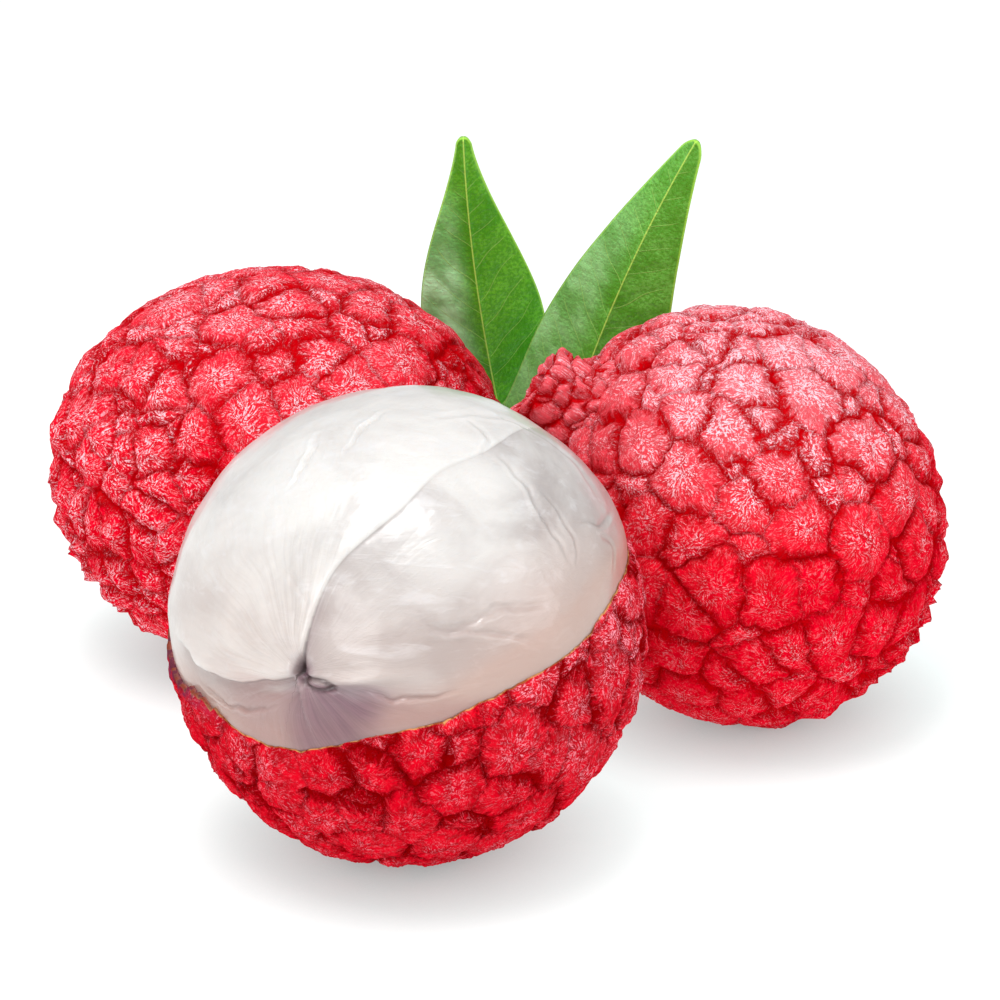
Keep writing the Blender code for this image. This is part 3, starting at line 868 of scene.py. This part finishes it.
def flesh_material():
    """Wet, milky flesh with fine lines that fan out from the pit, and painted shade in the seam, in the
    cleft at the pit, along the left lip's edge and around the nodule.
    """
    nodes = Nodes("flesh")
    ease, times = nodes.ease, nodes.times
    reach = nodes.parts("fan")["Z"]
    seam = nodes.parts("seam")
    lip = nodes.parts("lip")
    spot = nodes.spot()
    fan = nodes.vectors("MULTIPLY", nodes.vector("fan"), (26.0, 26.0, 0.22))
    lines = nodes.noise(fan, 1.0, 2.0, 0.6, distortion=0.3)
    cloud = nodes.noise(spot, 130.0, 4.0, 0.55, distortion=0.6)
    drawn_out = nodes.add("Mapping", {"Vector": spot, "Rotation": WISP_TURN, "Scale": WISP_FINENESS})
    wisp = nodes.noise(drawn_out, 1.0, 4.0, 0.65, distortion=0.5)
    grain = nodes.noise(spot, 2600.0, 2.0, 0.6)
    # Painted light and shade come in with the milky share, and the right lobe's grey share shrinks towards
    # the top as painted light.
    right_lobe = times(ease(seam["X"], -0.05, 0.05), nodes.value("clear_and_light"))
    own_milk_and_light = nodes.math("SUBTRACT", nodes.value("milk_and_light"), right_lobe)
    milk_and_light = nodes.math("ADD", own_milk_and_light, ease(cloud, 0.3, 0.7, -0.22, 0.22))
    fade = times(ease(reach, 3.0, 15.0, 0.34, 0.0), ease(own_milk_and_light, 0.2, 0.9, 0.3, 1.0))
    # Painted shade: a thin dark line in the seam, darkest near the pit, a dark cleft where the seam meets
    # the pit, and a dark line along the left lip's edge.
    beside = nodes.math("ABSOLUTE", seam["X"])
    seam_shade = times(ease(beside, 0.02, 0.14, 1.0, 0.0), seam["Z"],
                           ease(seam["Y"], 0.05, 0.40, 0.50, 0.08))
    slit_shade = times(ease(beside, 0.05, 0.20, 1.0, 0.0),
                         ease(seam["Y"], 0.04, 0.12, 1.0, 0.0))
    lip_shade = ease(nodes.math("ABSOLUTE", nodes.math("SUBTRACT", lip["X"], 0.06)), 0.02, 0.14, 0.35, 0.0)
    dark = nodes.math("MAXIMUM", times(lip_shade, lip["Z"]), nodes.math("MAXIMUM", seam_shade, slit_shade))
    colour = nodes.layers(
        nodes.mix(ease(milk_and_light, 0.0, 1.0), CLEAR_GREY, MILK_WHITE),
        (times(ease(wisp, 0.52, 0.70), 0.40), WISP_WHITE),
        (times(ease(lines, 0.42, 0.62), fade), LINE_LIGHT),
        (times(ease(lines, 0.48, 0.36), fade), LINE_DARK),
        (times(nodes.value("peach"), 0.8), PEACH), (nodes.value("rose"), ROSE),
        # Purple-grey: partly the flesh's own tint, partly painted shade at the pit and beside the seam.
        (times(nodes.value("lavender_and_shade"), 0.90), nodes.mix(ease(lines, 0.40, 0.60), *PURPLES)),
        # Painted shade in the seam, at the pit, along the left lip and around the nodule.
        (nodes.math("MAXIMUM", dark, nodes.value("dark")), PAINTED_CREASE_SHADE))
    normal = nodes.bump(nodes.math("ADD", times(lines, 0.5), wisp), 0.16, 0.55)
    return nodes.finish({
        "Base Color": colour, "Normal": nodes.bump(grain, 0.03, 0.25, normal), "Roughness": 0.34,
        "Subsurface Weight": 0.50, "Subsurface Radius": (1.0, 0.85, 0.75), "Subsurface Scale": 2.5 * MM,
        "Coat Weight": 0.42, "Coat Roughness": 0.15})


# Leaves

STALK_SHARE = 0.16
STALK_THICKNESS = 1.3
LEAF_THICKNESS = 0.42
TIP_WIDTH = 0.115
VEIN_GAP = 2.9
VEIN_GREEN = (0.40, 0.72, 0.14)
RIB_GREEN = (0.50, 0.80, 0.13)
EDGE_GREEN = (0.42, 0.80, 0.08)
BACK_GREEN = (0.20, 0.36, 0.11)


def blade_width(blade, widest, taper):
    """Share of a leaf's full width at a share of the way from the blade's base to its blunt tip."""
    lower = np.sin(math.pi / 2.0 * np.minimum(blade / widest, 1.0) ** 0.8)
    from_tip = np.clip((1.0 - blade) / (1.0 - widest), 0.0, 1.0)
    upper = TIP_WIDTH + (1.0 - TIP_WIDTH) * np.sin(math.pi / 2.0 * from_tip ** taper)
    upper = upper * np.sqrt(1.0 - (1.0 - np.minimum(from_tip / 0.045, 1.0)) ** 2)
    return np.where(blade < widest, lower, upper)


def leaf(name, foot, tip, bow, facing, half_width, widest, taper, fold, seed, material):
    """A leaf on its stalk, folded a little along its midrib, with raised veins."""
    rings, columns = ((230, 120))
    foot, tip, bow = np.array(foot), np.array(tip), np.array(bow)
    around = np.arange(columns)[None] / columns
    across = np.where(around < 0.5, 1.0 - 4.0 * around, 4.0 * around - 3.0)
    front_side = np.where(around < 0.5, 1.0, -1.0)
    step = np.arange(1, rings)[:, None] / rings
    along = 0.5 - 0.5 * np.cos(math.pi * step)
    middle = foot + (tip - foot) * along + bow * (4.0 * along * (1.0 - along))
    run = unit((tip - foot) + bow * (4.0 - 8.0 * along))
    side = unit(np.cross(run, facing))
    front = np.cross(side, run)
    blade = np.maximum((along - STALK_SHARE) / (1.0 - STALK_SHARE), 0.0)
    opened = step_up(blade, 0.0, 0.25)
    wave = noise(blade * [7.0, 0.0, 0.0], seed)[:, None]
    width = half_width * blade_width(blade, widest, taper) * (1.0 + 0.03 * wave)
    width += STALK_THICKNESS / 2.0 * (1.0 - opened)
    thick = STALK_THICKNESS / 2.0 + (LEAF_THICKNESS - STALK_THICKNESS) / 2.0 * opened
    share = np.abs(across)
    sideways = across * width
    from_rib = width * share
    up = blade * np.linalg.norm(tip - foot) * (1.0 - STALK_SHARE)
    lead = from_rib * 0.75 + 0.05 * from_rib ** 2
    places = np.stack(np.broadcast_arrays(sideways, up, 0.0), axis=-1).reshape(-1, 3)
    wobble = noise(places * 0.35, seed + 1).reshape(lead.shape)
    phase = (up - lead) / VEIN_GAP + 0.25 * wobble + np.where(across > 0, 0.0, 0.42)
    puff = np.sin(math.pi * (phase - np.floor(phase)))
    relief = 0.10 * (puff - 0.5) * step_up(from_rib, 0.2, 1.2) * (1.0 - share ** 4)
    relief += 0.10 * hump(from_rib, 0.20)
    curl = 0.35 * noise(places * 0.13, seed + 2).reshape(lead.shape) * share ** 2
    round_stalk = np.sqrt(np.clip(1.0 - share ** 2, 0.0, 1.0))
    body = (1.0 - share ** 8) * opened + round_stalk * (1.0 - opened)
    lift = thick * body * front_side + opened * (relief + curl - fold * from_rib)
    points = middle[:, None] + sideways[..., None] * side[:, None] + lift[..., None] * front[:, None]
    points = inside_box(name, np.vstack([foot, points.reshape(-1, 3), tip]))
    faces, spread = tube(len(step), columns)

    def ends(value, first, last):
        """The rings' values with those of the two end points."""
        return np.concatenate([[first], np.broadcast_to(value, lead.shape).ravel(), [last]])

    values = {
        "phase": ends(phase, 0.0, phase[-1, 0]),
        "from_rib": ends(from_rib, 0.0, 0.0),
        "from_edge": ends(width * (1.0 - share), 1.0, 0.0),
        "side": ends(across, 0.0, 0.0),
        "blade": ends(blade, 0.0, 1.0),
        "face": ends(front_side, 1.0, 1.0),
    }
    solid("fine_" + name, points, faces, spread, values, material, [name])


def leaf_material(name, dark, light, pale, shine):
    """Green leaf: dark between the veins, and paler at its edge, at its midrib and where it shines.
    Its faint glow stands for the light that comes through it."""
    nodes = Nodes(name)
    ease, times = nodes.ease, nodes.times
    spot = nodes.spot()
    cells = nodes.noise(spot, 2000.0, 2.0, 0.6)
    patches = nodes.noise(spot, 220.0, 3.0, 0.6)
    grain = nodes.noise(spot, 3600.0, 2.0, 0.65)
    from_edge = nodes.value("from_edge")
    off = times(nodes.math("PINGPONG", nodes.math("FRACT", nodes.value("phase")), 0.5), VEIN_GAP)
    vein = times(ease(off, 0.02, 0.08, 1.0, 0.0), ease(from_edge, 0.3, 1.2))
    rib = ease(nodes.value("from_rib"), 0.02, 0.09, 1.0, 0.0)
    blade = nodes.value("blade")
    sheen = times(
        ease(blade, 0.10, 0.38), ease(blade, 0.90, 0.55),
        ease(nodes.value("side"), -0.02, -0.60), ease(patches, 0.38, 0.60, 0.35 * shine, shine))
    colour = nodes.layers(
        nodes.mix(ease(patches, 0.32, 0.68), dark, light),
        (ease(grain, 0.42, 0.58, 0.0, 0.70), dark), (ease(grain, 0.44, 0.30, 0.0, 0.35), light),
        (sheen, pale), (times(vein, 0.45), VEIN_GREEN), (times(rib, 0.85), RIB_GREEN),
        (ease(from_edge, 0.04, 0.20, 0.7, 0.0), EDGE_GREEN),
        (ease(nodes.value("face"), -0.5, 0.5, 0.65, 0.0), BACK_GREEN))
    height = nodes.math("ADD", times(cells, 0.7), times(grain, 0.4))
    height = nodes.math("ADD", height, times(vein, 0.15))
    return nodes.finish({
        "Base Color": colour, "Normal": nodes.bump(height, 0.24), "Roughness": 0.42,
        "Emission Color": colour, "Emission Strength": 0.15, "Specular IOR Level": 0.35})


# The pieces

left_rind = rind_material("left_rind", deep=(0.55, 0.0, 0.003), body=(0.86, 0.0, 0.020),
                          pale=(1.0, 0.62, 0.70), fibre=0.64, lit_top_fibre=0.80, lit_top_blush=0.03)
right_rind = rind_material("right_rind", deep=(0.55, 0.0, 0.003), body=(0.86, 0.0, 0.018),
                           pale=(1.0, 0.64, 0.72), fibre=0.24, lit_top_fibre=3.6, lit_top_blush=0.20)
front_rind = rind_material("front_rind", deep=(0.29, 0.0, 0.001), body=(0.74, 0.001, 0.014),
                           pale=(1.0, 0.33, 0.41), fibre=0.38, lit_top_fibre=1.35, lit_top_blush=0.0)
whole_lychee("lychee_left", centre=(-17.3, 18.6, 16.4), half=(19.1, 16.8, 16.5), dip=0.03,
             stem=(0.79, 0.59, 0.16), stub_size=0.5, seed=11, near_tip=0.75, flat=0.22, material=left_rind)
whole_lychee("lychee_right", centre=(19.7, 7.1, 16.8), half=(17.4, 16.8, 16.1), dip=0.87,
             stem=(-0.80, -0.08, 0.59), stub_size=1.0, seed=23, near_tip=0.6, flat=0.32, material=right_rind)
peeled_rind(front_rind)
peeled_flesh()
left_leaf = leaf_material("left_leaf", dark=(0.050, 0.29, 0.005), light=(0.14, 0.51, 0.025),
                          pale=(0.50, 1.0, 0.54), shine=1.0)
right_leaf = leaf_material("right_leaf", dark=(0.065, 0.29, 0.010), light=(0.16, 0.50, 0.07),
                           pale=(0.38, 0.74, 0.34), shine=0.60)
leaf("leaf_left", foot=(4.0, 35.0, 0.8), tip=(-2.4, 25.0, 42.9), bow=(-1.3, 2.0, 0.0),
     facing=(-0.06, -1.0, 0.2), half_width=5.3, widest=0.45, taper=1.45, fold=0.16, seed=71,
     material=left_leaf)
leaf("leaf_right", foot=(3.2, 29.2, 0.8), tip=(16.4, 16.4, 45.4), bow=(-1.7, 1.6, 0.0),
     facing=(-0.35, -1.0, 0.25), half_width=6.3, widest=0.18, taper=1.06, fold=0.20, seed=72,
     material=right_leaf)


# Stage: camera, light, floor and background

VIEW_ELEVATION = math.radians(22.5)
VIEW_DISTANCE = 400.0
VIEW_LENS = 180.3
TARGET = (0.6, 4.2, 19.3)
FLOOR_TONES = (0.31, 0.25, 0.253), (0.33, 0.27, 0.273)
FLOOR_GLOW = (0.86, 1.0, 0.99, 1.0)


def camera():
    """A camera that looks at the bunch from the front and above."""
    data = bpy.data.cameras.new("camera")
    data.lens = VIEW_LENS
    view = bpy.data.objects.new("camera", data)
    back = (0.0, -math.cos(VIEW_ELEVATION), math.sin(VIEW_ELEVATION))
    view.location = [(at + VIEW_DISTANCE * way) * MM for at, way in zip(TARGET, back)]
    view.rotation_euler = (math.pi / 2.0 - VIEW_ELEVATION, 0.0, 0.0)
    bpy.context.scene.collection.objects.link(view)
    bpy.context.scene.camera = view


def area_light(name, place, target, size, power):
    """A square soft light that faces a point."""
    data = bpy.data.lights.new(name, "AREA")
    data.shape = "SQUARE"
    data.size = size * MM
    data.energy = power
    light = bpy.data.objects.new(name, data)
    light.location = [at * MM for at in place]
    facing = Vector(np.array(target) - np.array(place))
    light.rotation_euler = facing.to_track_quat("-Z", "Y").to_euler()
    bpy.context.scene.collection.objects.link(light)


def floor():
    """A wide pale floor. Its own glow is weaker close to things, which leaves soft shadows there."""
    nodes = Nodes("floor")
    tone = nodes.ease(nodes.noise(nodes.spot(), 3.0), 0.3, 0.7)
    open_above = nodes.add("AmbientOcclusion", {"Distance": 8.0 * MM}, output="AO")
    material = nodes.finish({
        "Base Color": nodes.mix(tone, *FLOOR_TONES),
        "Emission Strength": nodes.math("MULTIPLY_ADD", nodes.math("POWER", open_above, 0.6), 0.69, 0.21),
        "Emission Color": FLOOR_GLOW, "Roughness": 0.9, "Specular IOR Level": 0.1})
    bpy.ops.mesh.primitive_plane_add(size=8.0, location=(0.0, 0.0, 0.0))
    plane = bpy.context.object
    plane.name = "floor"
    plane.data.materials.append(material)


def background(strength):
    """A plain white surrounding."""
    world = bpy.data.worlds.new("studio")
    world.use_nodes = True
    sky = world.node_tree.nodes["Background"]
    sky.inputs["Color"].default_value = (1.0, 1.0, 1.0, 1.0)
    sky.inputs["Strength"].default_value = strength
    bpy.context.scene.world = world


camera()
floor()
background(strength=0.46)
area_light("key", place=(-90.0, -130.0, 540.0), target=(0.0, 0.0, 15.0), size=260.0, power=1.95)
area_light("front", place=(-240.0, -480.0, 240.0), target=(0.0, 0.0, 20.0), size=300.0, power=1.0)
area_light("side", place=(420.0, -260.0, 200.0), target=(0.0, 0.0, 15.0), size=300.0, power=0.6)
bpy.context.scene.view_settings.view_transform = "Standard"
